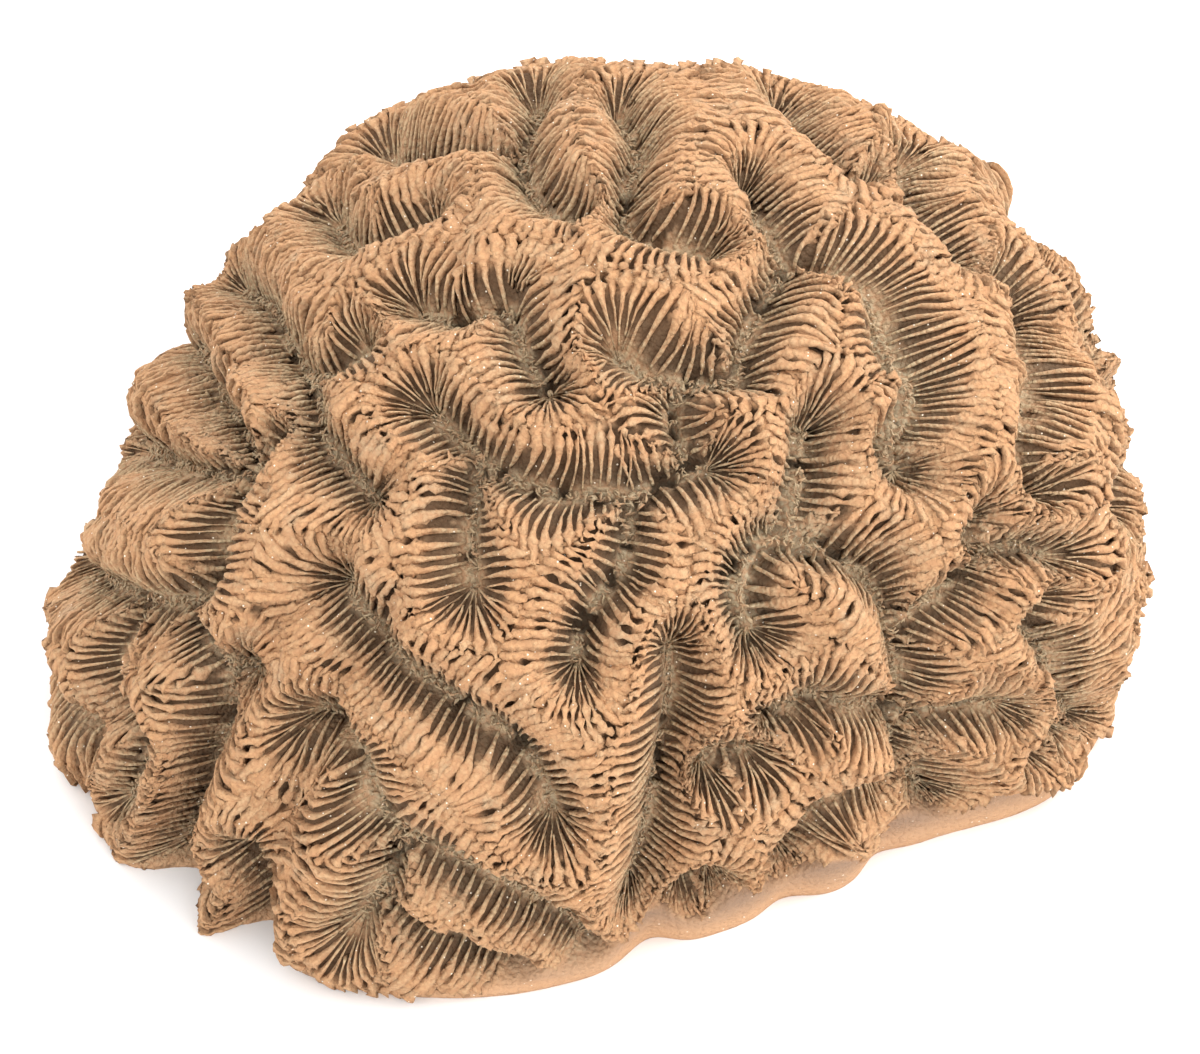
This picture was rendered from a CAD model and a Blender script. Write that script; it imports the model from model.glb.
import logging
import math
from dataclasses import dataclass, field
from enum import Enum

import bpy
import numpy as np
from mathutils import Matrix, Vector, kdtree


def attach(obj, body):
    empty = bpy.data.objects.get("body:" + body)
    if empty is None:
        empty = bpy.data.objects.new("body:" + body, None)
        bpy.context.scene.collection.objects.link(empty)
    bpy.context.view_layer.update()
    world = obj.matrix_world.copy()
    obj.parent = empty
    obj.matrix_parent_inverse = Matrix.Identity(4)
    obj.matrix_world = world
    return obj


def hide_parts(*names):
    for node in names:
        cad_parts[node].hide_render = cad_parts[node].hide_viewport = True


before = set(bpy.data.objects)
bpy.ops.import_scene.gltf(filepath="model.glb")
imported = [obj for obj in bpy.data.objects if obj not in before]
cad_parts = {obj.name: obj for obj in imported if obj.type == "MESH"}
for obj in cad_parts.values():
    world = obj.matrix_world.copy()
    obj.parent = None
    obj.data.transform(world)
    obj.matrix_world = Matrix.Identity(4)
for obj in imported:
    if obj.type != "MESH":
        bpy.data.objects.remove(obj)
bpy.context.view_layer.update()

LOG = logging.getLogger("brain_coral")
MM = 0.001
GROWTH_AXIS = np.array([0.09, -0.83, 0.0])  # mm, where the dome's own axis stands in the CAD frame
SEED = 20
Colour = tuple[float, float, float, float]
LATTICE_VALUES = 4096
LATTICE_KEYS = (73856093, 19349663, 83492791)

# Between which values of its pattern each mask goes from 0 to 1
PIT_EDGE = (0.18, 0.34)
FUSION_EDGE = (-0.55, 0.05)
HOLE_EDGE = (0.36, 0.5)

LUMP_HEIGHT = 0.5  # mm
FINE_LUMP_HEIGHT = 0.16  # mm
FLOOR_SHADING = 0.4  # share of their shade that gaps keep at the valley floor
SHADED_RISE = 0.16  # height on the wall from which they have all of it

# Valleys in view, traced by eye as pixels of the photograph (x to the right, y down)
SEEN_VALLEYS = {
    "star_upper": [(437, 415), (460, 438), (480, 458)],
    "main_cross": [(480, 458), (508, 478), (540, 491), (568, 497), (600, 496), (632, 497)],
    "star_middle": [(480, 458), (478, 500), (474, 545), (476, 585)],
    "spine": [(632, 497), (627, 535), (619, 572), (600, 597), (583, 625), (577, 660)],
    "cross_right": [(632, 497), (660, 484), (690, 472), (706, 470)],
    "neck": [(690, 472), (676, 440), (671, 412), (688, 386)],
    "long_comb": [(618, 362), (650, 380), (690, 386), (738, 382)],
    "riser": [(738, 382), (742, 345), (760, 312), (785, 272)],
    "small_hole": [(512, 315), (522, 345), (534, 372), (550, 396)],
    "comb_left": [(425, 318), (465, 324), (512, 315)],
    "far_cup": [(617, 128), (638, 158), (628, 195), (626, 235), (655, 255), (704, 264)],
    "far_fan": [(741, 200), (762, 238), (785, 272), (828, 284), (863, 305), (874, 332)],
    "back_cup": [(770, 128), (795, 150), (815, 170), (838, 190), (866, 190)],
    "right_shoulder": [(890, 178), (895, 215), (918, 243), (942, 268)],
    "east_line": [(985, 292), (1000, 325), (1006, 358), (1018, 398), (1007, 440), (1010, 476), (1022, 496)],
    "east_rim": [(1038, 292), (1055, 325), (1070, 362), (1066, 396), (1092, 418), (1106, 462), (1092, 505)],
    "east_star": [(965, 518), (956, 545), (985, 550), (1012, 546), (1036, 556)],
    "comb_east": [(962, 562), (938, 588), (905, 610), (886, 635)],
    "thread": [(822, 550), (856, 572), (876, 598), (886, 635), (888, 668), (878, 700)],
    "fan_east": [(878, 700), (905, 712), (936, 704), (968, 700), (992, 702)],
    "shelf": [(762, 712), (788, 700), (806, 691), (842, 700), (878, 700)],
    "drop_east": [(878, 700), (888, 732), (868, 756), (846, 778), (818, 793), (793, 806), (768, 832)],
    "cup_east": [(900, 758), (914, 780)],
    "south_east_cup": [(1012, 742), (1032, 720), (1046, 724)],
    "east_low": [(1024, 597), (1019, 624), (1040, 655), (1047, 690), (1063, 712)],
    "east_edge": [(1116, 528), (1120, 566), (1120, 610), (1110, 655)],
    "spindle": [(667, 645), (667, 690), (660, 728), (654, 765), (648, 800), (640, 835), (628, 868)],
    "fan_south": [(700, 757), (712, 746), (742, 743)],
    "cup_south": [(678, 868), (694, 858), (708, 862)],
    "star_left": [
        (354, 580), (360, 602), (385, 628), (406, 660), (440, 684), (472, 706),
        (502, 722), (526, 748), (542, 778), (552, 806),
    ],
    "upper_left_star": [(322, 405), (323, 432), (338, 455), (362, 480), (378, 498)],
    "left_cup": [(246, 292), (264, 302), (284, 322), (294, 350), (312, 376), (342, 376), (372, 356)],
    "left_link": [(312, 376), (322, 405)],
    "top_left": [(342, 228), (350, 246), (374, 260), (406, 248), (440, 232)],
    "top_comb": [(396, 172), (432, 176), (480, 172), (525, 165)],
    "top_notch": [(538, 118), (541, 132), (525, 165), (533, 196), (552, 220), (582, 230)],
    "west_long": [
        (292, 440), (268, 474), (243, 512), (238, 548), (232, 582), (204, 598),
        (166, 598), (130, 588), (110, 565), (97, 534),
    ],
    "west_upper": [(150, 452), (188, 466), (228, 476), (268, 474)],
    "west_middle": [(158, 600), (140, 648), (150, 694), (158, 724), (148, 760), (134, 792)],
    "west_dark": [
        (204, 598), (212, 630), (234, 660), (238, 698), (228, 738), (224, 772),
        (206, 804), (199, 840), (203, 872),
    ],
    "west_side": [(234, 660), (262, 662)],
    "west_edge": [(84, 640), (89, 682), (108, 712), (122, 722)],
    "south_west": [
        (330, 706), (356, 722), (371, 750), (374, 784), (392, 812), (420, 834),
        (452, 850), (492, 868), (532, 888), (562, 904), (590, 926),
    ],
    "south_cup": [(410, 834), (396, 858), (384, 884), (368, 908)],
    "south_low": [(384, 884), (412, 902), (442, 918), (478, 932), (512, 944), (545, 958)],
    "south_west_cup": [(254, 836), (283, 866), (290, 898)],
    "left_pass": [(205, 352), (222, 374), (232, 402), (250, 432), (268, 474)],
}

# More valleys in view, each with a broad floor
SEEN_BROAD_VALLEYS = {
    "far_fan_floor": [(874, 332), (890, 362), (908, 392), (900, 425), (884, 448), (893, 470)],
    "wide_floor": [(802, 435), (800, 470), (792, 510), (785, 540)],
    "wide_floor_left": [(785, 540), (762, 543), (742, 572), (740, 602), (748, 628)],
    "wide_floor_right": [(785, 540), (822, 550)],
}

# Valleys out of view, laid out by hand in the same rhythm: degrees of bearing, degrees from the top
HIDDEN_VALLEYS = {
    "crown": [(95, 62), (86, 61), (77, 59), (69, 60), (61, 61), (54, 60), (48, 62)],
    "crown_east": [(48, 62), (42, 64), (38, 68), (33, 72)],
    "notch_run": [(104, 66), (97, 70), (88, 69), (80, 74)],
    "comb_run": [(119, 74), (112, 76), (105, 79), (106, 87)],
    "left_run": [(131, 75), (127, 79), (120, 82), (118, 87), (121, 92)],
    "cup_run": [(143, 81), (139, 84), (133, 84), (130, 88), (132, 92)],
    "pass_run": [(159.6, 72.7), (155, 78), (153, 83), (147, 86), (143, 92)],
    "west_run": [(176.3, 75.9), (170, 82.5), (166, 86), (160, 87), (157, 92)],
    "back_foot": [(92, 77), (94, 86), (101, 92)],
    "middle_run": [(69, 60), (64, 67), (60, 74), (65, 80), (71, 78)],
    "middle_foot": [(83, 88), (76, 86), (70, 92)],
    "east_run": [(48, 62), (46, 69), (45, 77), (51, 84), (59, 89)],
    "east_bend": [(21, 57), (26, 63.5), (33, 72), (34, 82), (39, 90)],
    "east_foot": [(24, 76), (22, 84), (27, 92)],
    "side_run": [(12, 68), (15, 76), (12, 85)],
    "side_foot": [(2, 72), (4, 81), (0, 89)],
}


class Quarter(Enum):
    """The parts of the colony that its ribs are gathered in, by bearing from +X in degrees."""

    FRONT_LEFT = (190.0, 250.0)
    FRONT_RIGHT = (250.0, 305.0)
    RIGHT = (305.0, 400.0)
    BACK = (40.0, 120.0)
    LEFT = (120.0, 190.0)


class Pattern(Enum):
    """Random patterns: the distance in millimetres over which each changes, and the seed that chooses it."""

    GAP_DEPTH = (3.0, 5)
    SPONGE = (0.9, 11)
    FINE_SPONGE = (0.5, 12)
    GRAIN = (0.9, 13)
    BAND = (3.0, 21)
    CLOSURE = (8.0, 31)
    BOW = (7.0, 41)
    PITS = (1.4, 51)
    HOLES = (1.7, 61)
    FUSION = (9.0, 71)
    LUMPS = (3.0, 81)
    FINE_LUMPS = (1.3, 82)


def empty(*size: int) -> np.ndarray:
    """Field of a class that starts as an empty table of the given size."""
    return field(default_factory=lambda: np.zeros(size))


def unit(vectors: np.ndarray) -> np.ndarray:
    """Vectors of length one, along the last axis."""
    return vectors / np.maximum(np.linalg.norm(vectors, axis=-1, keepdims=True), 1e-12)


def times(ways: np.ndarray, amounts: np.ndarray) -> np.ndarray:
    """Each of the ways times each of its amounts, as a table of way, amount and coordinate."""
    return ways[:, None, :] * amounts[..., None]


def smooth_step(value: np.ndarray, low: float, high: float) -> np.ndarray:
    """Smooth rise from 0 at `low` to 1 at `high`."""
    u = np.clip((value - low) / (high - low), 0.0, 1.0)
    return u * u * (3.0 - 2.0 * u)


def turn_from(angle: np.ndarray, bearing: float) -> np.ndarray:
    """Turn in radians, between -pi and pi, from a bearing in degrees to each angle in radians."""
    return np.mod(angle - math.radians(bearing) + np.pi, 2 * np.pi) - np.pi


def running_total(steps: np.ndarray) -> np.ndarray:
    """Sum of the steps before each place of a row, 0 at its start."""
    return np.concatenate([[0.0], np.cumsum(steps)])


def blend(before: np.ndarray, start: np.ndarray, end: np.ndarray, after: np.ndarray, u: np.ndarray
          ) -> np.ndarray:
    """Smooth curve through a row of points.

    Args:
        before: The point before the stretch.
        start: Where the stretch starts.
        end: Where it ends.
        after: The point after it.
        u: Share of the stretch.

    Returns:
        The curve's points at that share.
    """
    square = (2 * before - 5 * start + 4 * end - after) * u**2
    cube = (3 * start - before - 3 * end + after) * u**3
    return 0.5 * (2 * start + (end - before) * u + square + cube)


def catmull_rom(corners: np.ndarray, step: float) -> np.ndarray:
    """Smooth row of points through given corners.

    Args:
        corners: The corners, one in each row.
        step: Rough distance between the new points.

    Returns:
        The new points, first and last corner included.
    """
    rows, last = [], len(corners) - 1
    for i in range(last):
        near = [corners[min(max(i + k, 0), last)] for k in (-1, 0, 1, 2)]
        count = max(2, int(np.linalg.norm(near[2] - near[1]) / step))
        rows.append(blend(*near, (np.arange(count) / count)[:, None]))
    rows.append(corners[-1:])
    return np.concatenate(rows)


def even_points(points: np.ndarray, step: float) -> np.ndarray:
    """Divides a line evenly.

    Args:
        points: The line's points.
        step: The new distance between them.

    Returns:
        The new points.
    """
    length = running_total(np.linalg.norm(np.diff(points, axis=0), axis=1))
    count = max(2, int(round(length[-1] / step)) + 1)
    places = np.linspace(0.0, length[-1], count)
    return np.stack([np.interp(places, length, points[:, k]) for k in range(3)], axis=-1)


def lattice_noise(points: np.ndarray, pattern: Pattern) -> np.ndarray:
    """Smooth random values between -1 and 1 over space.

    Args:
        points: Places, one in each row.
        pattern: The pattern of the values.

    Returns:
        One value for each place.
    """
    size, seed = pattern.value
    table = np.random.default_rng(seed).uniform(-1.0, 1.0, LATTICE_VALUES)
    scaled = points / size
    base = np.floor(scaled).astype(np.int64)
    part = scaled - base
    part = part * part * (3.0 - 2.0 * part)
    total = np.zeros(len(points))
    for corner in range(8):
        offset = np.array([corner & 1, (corner >> 1) & 1, (corner >> 2) & 1])
        key = np.bitwise_xor.reduce((base + offset) * np.array(LATTICE_KEYS), axis=1)
        weight = np.prod(np.where(offset == 1, part, 1.0 - part), axis=1)
        total += weight * table[key % LATTICE_VALUES]
    return total


@dataclass(frozen=True)
class Lumps:
    """Blunt lumps: their height and spacing in millimetres, and the phase that chooses their pattern."""

    height: float
    length: float
    phase: float

    def at(self, points: np.ndarray) -> np.ndarray:
        """Height of the lumps above and below their mean.

        Args:
            points: Places in millimetres.

        Returns:
            One height for each place.
        """
        k = 2 * np.pi / self.length
        x, y, z = points[..., 0], points[..., 1], points[..., 2]
        first = np.sin(k * x + self.phase + 1.5 * np.sin(0.7 * k * y))
        second = np.sin(1.1 * k * y + 2 * self.phase + 1.5 * np.sin(0.8 * k * z))
        third = np.sin(0.9 * k * z + 3 * self.phase + 1.5 * np.sin(0.6 * k * x))
        return self.height * ((first + second + third) / 3)


@dataclass(frozen=True)
class Dome:
    """The smooth dome that the crests reach, in millimetres about its own axis, with the cut at z = 0."""

    height: float = 63.0
    belly: float = 8.0
    wall: float = 5.6
    undercut: float = 0.02
    lean: tuple[float, float] = (7.0, -1.0)
    power: float = 2.0
    slope: float = 0.3
    slope_bearing: float = 160.0
    search_reach: float = 120.0
    search_halvings: int = 26
    slope_step: float = 0.05
    # Crest radius at the belly in even steps of bearing, from +X round by +Y
    rim: tuple[float, ...] = (
        60, 61.5, 61.5, 61, 61, 61.5, 62.5, 65.5, 65.5, 61, 61.5, 60.5,
        61, 67, 69.5, 67.5, 67.5, 64, 59, 54.5, 54.8, 55.5, 63.8, 64.5,
    )
    # Bearing in degrees, depth in millimetres and half width in degrees of each dent in the rim
    dents: tuple[tuple[float, float, float], ...] = (
        (10, -3, 5), (36, -1.5, 4), (64, 1.2, 5), (97, 1, 5), (177, 2.4, 3), (209.5, 2, 3),
        (217, -1.2, 3), (223, 4, 3), (229, -0.8, 2), (234, 4, 3), (276.5, 3, 4), (295, 1.8, 4),
        (309, 1.6, 3.5), (353, -2, 5),
    )

    def centre(self) -> np.ndarray:
        """The dome's centre, on its axis at the belly."""
        return np.array([0.0, 0.0, self.belly])

    def rim_radius(self, angle: np.ndarray) -> np.ndarray:
        """Crest radius at the belly.

        Args:
            angle: Angles from +X in radians.

        Returns:
            One radius for each angle.
        """
        radii = np.array(self.rim, float)
        count = len(radii)
        place = np.mod(angle / (2 * np.pi), 1.0) * count
        index = np.floor(place).astype(int)
        radius = blend(*(radii[(index + k) % count] for k in (-1, 0, 1, 2)), place - index)
        for bearing, depth, spread in self.dents:
            off = turn_from(angle, bearing) / math.radians(spread)
            radius = radius - depth * np.exp(-off * off)
        return radius

    def level(self, points: np.ndarray, grow: float) -> np.ndarray:
        """Negative inside the dome that lies `grow` outside the crests.

        Args:
            points: Places in millimetres.
            grow: How far outside the crests the tested dome lies.

        Returns:
            One level for each place.
        """
        rise = np.maximum((points[..., 2] - self.belly) / (self.height + grow - self.belly), 0.0)
        x = points[..., 0] - self.lean[0] * rise
        y = points[..., 1] - self.lean[1] * rise
        angle = np.arctan2(y, x)
        drop = np.maximum((self.belly - points[..., 2]) / self.belly, 0.0)
        radius = (self.rim_radius(angle) + grow) * (1 - self.undercut * drop**2)
        power = self.power - self.slope * np.cos(angle - math.radians(self.slope_bearing))
        return (np.hypot(x, y) / np.maximum(radius, 1e-6)) ** power + rise**power - 1

    def surface(self, directions: np.ndarray, grow: float) -> np.ndarray:
        """Points on a dome in the given directions from its centre.

        Args:
            directions: Unit directions.
            grow: How far outside the crests that dome lies.

        Returns:
            One point for each direction.
        """
        near = np.zeros(directions.shape[:-1])
        far = np.full(directions.shape[:-1], self.search_reach)
        for _ in range(self.search_halvings):
            middle = (near + far) / 2
            within = self.level(self.centre() + middle[..., None] * directions, grow) < 0
            near = np.where(within, middle, near)
            far = np.where(within, far, middle)
        return self.centre() + near[..., None] * directions

    def direction(self, points: np.ndarray) -> np.ndarray:
        """Directions from the dome's centre to the given points."""
        return unit(points - self.centre())

    def crest(self, points: np.ndarray) -> np.ndarray:
        """The given points moved in or out on to the level of the crests."""
        return self.surface(self.direction(points), 0.0)

    def floor(self, points: np.ndarray) -> np.ndarray:
        """The given points moved in or out on to the level of the valley floors."""
        return self.surface(self.direction(points), -self.wall)

    def normal(self, points: np.ndarray) -> np.ndarray:
        """Outward normals of the dome at the level of the valley floors.

        Args:
            points: Floor-level points.

        Returns:
            One unit normal for each point.
        """
        slope = np.empty_like(points)
        for axis, step in enumerate(self.slope_step * np.eye(3)):
            slope[..., axis] = self.level(points + step, -self.wall) - self.level(points - step, -self.wall)
        return unit(slope)


@dataclass(frozen=True)
class PhotoView:
    """The photograph's viewpoint: where a pixel looks, and the camera that stands there."""

    dome: Dome
    elevation: float = 50.0
    distance: float = 620.0
    pixels_per_mm: float = 8.38
    foot_pixel: tuple[float, float] = (595.0, 590.0)
    frame_size: tuple[int, int] = (1200, 1054)
    sensor_mm: float = 36.0
    clip_start: float = 0.05
    first_depth: float = 510.0
    depth_step: float = 0.5
    depths: int = 480

    def axes(self) -> tuple[np.ndarray, np.ndarray]:
        """Where the view looks.

        Returns:
            Its forward and its upward direction.
        """
        tilt = math.radians(self.elevation)
        drop, run = math.sin(tilt), math.cos(tilt)
        return np.array([0.0, run, -drop]), np.array([0.0, drop, run])

    def focal(self) -> float:
        """Focal length in pixels."""
        return self.pixels_per_mm * self.distance

    def rays(self, pixels: np.ndarray) -> np.ndarray:
        """Directions in which pixels look.

        Args:
            pixels: Pixels of the photograph.

        Returns:
            One unit direction for each pixel.
        """
        forward, up = self.axes()
        across, down = ((pixels - np.array(self.foot_pixel)) / self.focal()).T[..., None]
        return unit(forward + across * np.array([1.0, 0.0, 0.0]) - down * up)

    def directions_seen(self, pixels: list[tuple[float, float]]) -> np.ndarray:
        """Directions from the dome's centre to the valley floors that pixels show.

        Args:
            pixels: Pixels of the photograph.

        Returns:
            One unit direction for each pixel.
        """
        forward, _ = self.axes()
        rays = self.rays(np.array(pixels, float))
        depths = self.first_depth + self.depth_step * np.arange(self.depths)
        places = -self.distance * forward + depths[None, :, None] * rays[:, None, :]
        level = self.dome.level(places, -self.dome.wall)
        level = np.where(places[..., 2] < 0, np.inf, level)
        inside = level < 0
        first = np.where(inside.any(axis=1), inside.argmax(axis=1), level.argmin(axis=1))
        return self.dome.direction(places[np.arange(len(rays)), first])

    def place_camera(self) -> None:
        """Adds the camera at the photograph's viewpoint and makes it the scene's."""
        forward, _ = self.axes()
        look = self.rays(np.array([self.frame_size]) / 2)[0]
        data = bpy.data.cameras.new("photo_camera")
        data.sensor_width = self.sensor_mm
        data.lens = self.focal() * self.sensor_mm / self.frame_size[0]
        data.clip_start = self.clip_start
        camera = bpy.data.objects.new("photo_camera", data)
        bpy.context.scene.collection.objects.link(camera)
        camera.location = Vector((-self.distance * forward + GROWTH_AXIS) * MM)
        camera.rotation_euler = Vector(look).to_track_quat("-Z", "Y").to_euler()
        bpy.context.scene.camera = camera


@dataclass
class Valleys:
    """The network of valleys on the dome, and how the walls rise from it, in millimetres and degrees."""

    dome: Dome
    view: PhotoView
    floor_half_width: float = 0.3
    broad_half_width: float = 1.3
    wall_run: float = 5.9
    rounding: float = 2.1
    swell: Lumps = Lumps(0.9, 24.0, 1.3)
    knob: Lumps = Lumps(0.55, 9.0, 2.2)
    wander: Lumps = Lumps(0.6, 7.0, 0.4)
    wander_way: float = 2.0
    sample_step: float = 0.4
    band_low: float = 0.3
    band_high: float = 6.2
    band_bearing: float = 298.0
    band_spread: float = 38.0
    band_scallop: float = 1.5
    band_scallops: int = 30
    lines: list[np.ndarray] = field(default_factory=list)
    places: np.ndarray = empty(0, 3)
    half_widths: np.ndarray = empty(0)
    owners: np.ndarray = empty(0)
    tree: kdtree.KDTree | None = None

    def lay(self) -> None:
        """Places every valley on the dome's floor level and builds the search tree."""
        seen = ((SEEN_VALLEYS, self.floor_half_width), (SEEN_BROAD_VALLEYS, self.broad_half_width))
        chains = [
            (self.view.directions_seen(line), width) for lines, width in seen for line in lines.values()
        ]
        for line in HIDDEN_VALLEYS.values():
            bearing, tilt = np.radians(np.array(line, float)).T
            flat = np.sin(tilt)
            around = np.stack([flat * np.cos(bearing), flat * np.sin(bearing), np.cos(tilt)], axis=-1)
            chains.append((around, self.floor_half_width))
        for directions, _ in chains:
            corners = self.dome.surface(directions, -self.dome.wall)
            line = even_points(catmull_rom(corners, self.sample_step), self.sample_step)
            self.lines.append(self.dome.floor(line))
        counts = [len(line) for line in self.lines]
        self.places = np.concatenate(self.lines)
        self.half_widths = np.repeat([width for _, width in chains], counts)
        self.owners = np.repeat(np.arange(len(counts)), counts)
        self.tree = build_tree(self.places)

    def nearest(self, points: np.ndarray) -> tuple[np.ndarray, np.ndarray]:
        """Index of the nearest valley sample and distance to it, for each floor-level point."""
        return nearest_in(self.tree, points)

    def margin(self, crests: np.ndarray) -> np.ndarray:
        """Height of the living margin over the cut.

        Args:
            crests: Crest-level points.

        Returns:
            The margin's height under each of them.
        """
        angle = np.arctan2(crests[:, 1], crests[:, 0])
        share = np.exp(-((turn_from(angle, self.band_bearing) / math.radians(self.band_spread)) ** 4))
        scallop = self.band_scallop * share * np.cos(self.band_scallops * angle)
        return self.band_low + (self.band_high - self.band_low) * share + scallop

    def relief(self, way: np.ndarray, crests: np.ndarray) -> np.ndarray:
        """Height of the wall over the floor level, floor 0 and crest about 1.

        Args:
            way: Way from the edge of the nearest valley floor, in millimetres.
            crests: The crest-level points above.

        Returns:
            One height for each point.
        """
        wandering = way + self.wander.at(crests) * np.clip(way / self.wander_way, 0.0, 1.0)
        climb = np.clip(wandering / self.wall_run, 0.0, 1.0)
        uneven = self.swell.at(crests) + self.knob.at(crests)
        return (1.0 - (1.0 - climb) ** self.rounding) * (1.0 + uneven / self.dome.wall)


def pit_mask(points: np.ndarray) -> np.ndarray:
    """1 where the gap between two ribs shows as a pit in the filled crest, and 0 where it is filled."""
    return smooth_step(lattice_noise(points, Pattern.PITS), *PIT_EDGE)


def fusion(points: np.ndarray) -> np.ndarray:
    """1 where the ribs have grown together to a smooth crest, and 0 where each still stands out."""
    return smooth_step(lattice_noise(points, Pattern.FUSION), *FUSION_EDGE)


def hole_mask(points: np.ndarray) -> np.ndarray:
    """1 where the floor of a valley has a hole, and 0 elsewhere."""
    return smooth_step(lattice_noise(points, Pattern.HOLES), *HOLE_EDGE)


def small_lumps(points: np.ndarray) -> np.ndarray:
    """Height in millimetres of the small lumps on crests and walls, at the given crest-level points."""
    large, fine = (lattice_noise(points, pattern) for pattern in (Pattern.LUMPS, Pattern.FINE_LUMPS))
    return LUMP_HEIGHT * large + FINE_LUMP_HEIGHT * fine


def low_walls(rise: np.ndarray) -> np.ndarray:
    """How strongly gaps are shaded at the given heights on the wall: weakly near the floor."""
    return FLOOR_SHADING + (1.0 - FLOOR_SHADING) * np.clip(rise / SHADED_RISE, 0.0, 1.0)


def build_tree(places: np.ndarray) -> kdtree.KDTree:
    """Builds a search tree.

    Args:
        places: Places, one in each row.

    Returns:
        The tree.
    """
    tree = kdtree.KDTree(len(places))
    for i, place in enumerate(places):
        tree.insert(place, i)
    tree.balance()
    return tree


def nearest_in(tree: kdtree.KDTree, points: np.ndarray) -> tuple[np.ndarray, np.ndarray]:
    """Looks up the nearest place of a tree.

    Args:
        tree: The search tree.
        points: Points to look up, one in each row.

    Returns:
        The index of the nearest place and the distance to it, for each point.
    """
    hits = [tree.find(point) for point in points.tolist()]
    return np.array([hit[1] for hit in hits]), np.array([hit[2] for hit in hits])


@dataclass(frozen=True)
class RibShape:
    """A rib at its stations: up to where it meets its neighbours, and beyond that on the filled crest."""

    # Shares of the open wall, and then of the filled crest, at which the stations lie
    open_shares: tuple[float, ...] = (0.0, 0.15, 0.38, 0.6, 0.8, 0.93, 1.0)
    crest_shares: tuple[float, ...] = (0.22, 0.4, 0.58, 0.76, 0.9, 1.0)
    # At each station: thickness as a share of the room, and in millimetres how far the edge is lowered,
    # how far the shoulders lie below it, how much of a standing rib's height it has, and how deep it goes
    thickness: tuple[float, ...] = (0.26, 0.3, 0.36, 0.46, 0.62, 0.84, 1.06, 0.62, 0.44, 0.6, 1.1, 1.14, 1.1)
    lowered: tuple[float, ...] = (0.15, 0.08, 0.05, 0.03, 0.02, 0.0, 0.0, 0.02, 0.03, 0.02, 0.0, 0.03, 0.1)
    shoulder: tuple[float, ...] = (0.24, 0.26, 0.28, 0.3, 0.32, 0.3, 0.26, 0.28, 0.28, 0.28, 0.24, 0.26, 0.3)
    standing: tuple[float, ...] = (0.0, 0.0, 0.0, 0.1, 0.3, 0.6, 0.85, 0.7, 0.8, 1.0, 0.9, 0.6, 0.3)
    depth: tuple[float, ...] = (0.9, 1.3, 1.9, 2.5, 2.7, 2.6, 2.2, 2.0, 1.8, 1.7, 1.6, 1.5, 1.4)
    fused_shoulder: float = 0.12
    fused_overlap: float = 0.4
    fused_least: float = 0.8
    filled: float = 1.1
    edge_width: float = 0.38
    half_width: tuple[float, float] = (0.08, 0.8)
    pit: tuple[int, ...] = (7, 8, 9)
    # How much light the corners of each side get
    light: tuple[float, ...] = (0.8, 1.0, 1.0, 0.8, 0.0)

    def count(self) -> int:
        """Number of stations."""
        return len(self.thickness)

    def on_crest(self) -> np.ndarray:
        """1 for the stations on the filled crest, 0 for those on the open wall."""
        return (np.arange(self.count()) >= len(self.open_shares) - 1).astype(float)

    def shares(self, closure: np.ndarray) -> np.ndarray:
        """Shares of the run at which the stations lie.

        Args:
            closure: Share of its run at which each rib meets its neighbours.

        Returns:
            One row of shares for each rib.
        """
        opened = closure[:, None] * np.array(self.open_shares)
        crest = closure[:, None] + (1.0 - closure)[:, None] * np.array(self.crest_shares)
        return np.concatenate([opened, crest], axis=1)


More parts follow.
